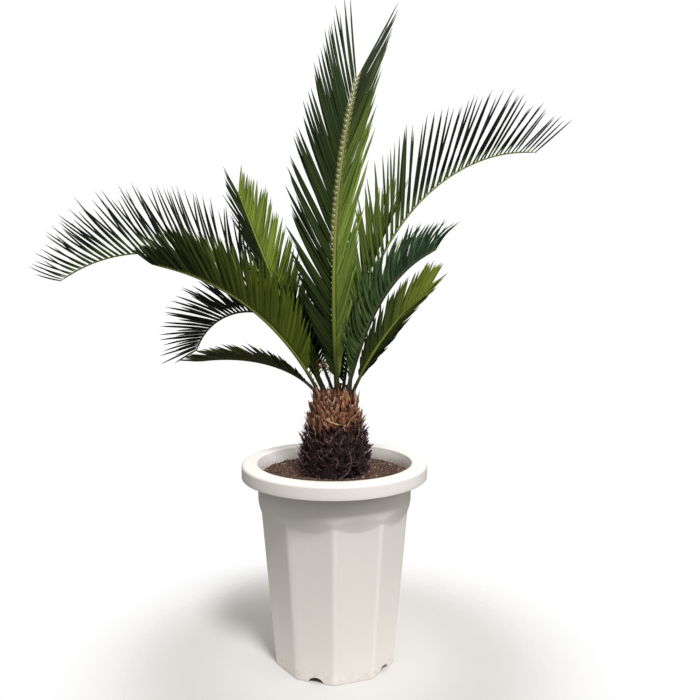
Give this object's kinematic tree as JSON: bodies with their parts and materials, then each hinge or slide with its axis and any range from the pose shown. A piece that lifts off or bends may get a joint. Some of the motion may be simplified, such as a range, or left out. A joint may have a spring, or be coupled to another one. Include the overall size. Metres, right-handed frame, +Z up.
{
  "type": "potted sago palm",
  "caption": "Sago palm with a short scaly trunk and arching feather fronds, standing in a tall ten-sided plastic nursery pot with a wide rolled rim.",
  "frame": {"origin": "centre of the pot's flat underside, on the surface that it stands on", "axes": "+Z up, -Y towards the plant's front as pictured, +X to the right seen from the front"},
  "size_m": [0.9479, 0.4153, 0.9743],
  "materials": {
    "pot_plastic": "satin off-white moulded plastic",
    "potting_soil": "dark gritty potting mix with pale grains",
    "stem_bark": "rough brown leaf stubs and dry fibre",
    "deep_green_leaf": "stiff waxy deep green leaflets",
    "olive_green_leaf": "stiff waxy olive green leaflets",
    "bright_green_leaf": "stiff waxy yellow-green leaflets",
    "blue_green_leaf": "stiff waxy bluish green leaflets"
  },
  "bodies": {
    "root": {"pot": "pot_plastic", "soil": "potting_soil", "trunk": "stem_bark", "frond_01_tall": "deep_green_leaf", "frond_02_far_left": "deep_green_leaf", "frond_03_left_front": "olive_green_leaf", "frond_04_left_upright": "bright_green_leaf", "frond_05_left_low": "deep_green_leaf", "frond_06_left_behind": "deep_green_leaf", "frond_07_far_right": "deep_green_leaf", "frond_08_right_middle": "blue_green_leaf", "frond_09_right_low": "olive_green_leaf", "frond_10_behind": "bright_green_leaf"}
  },
  "joints": []
}
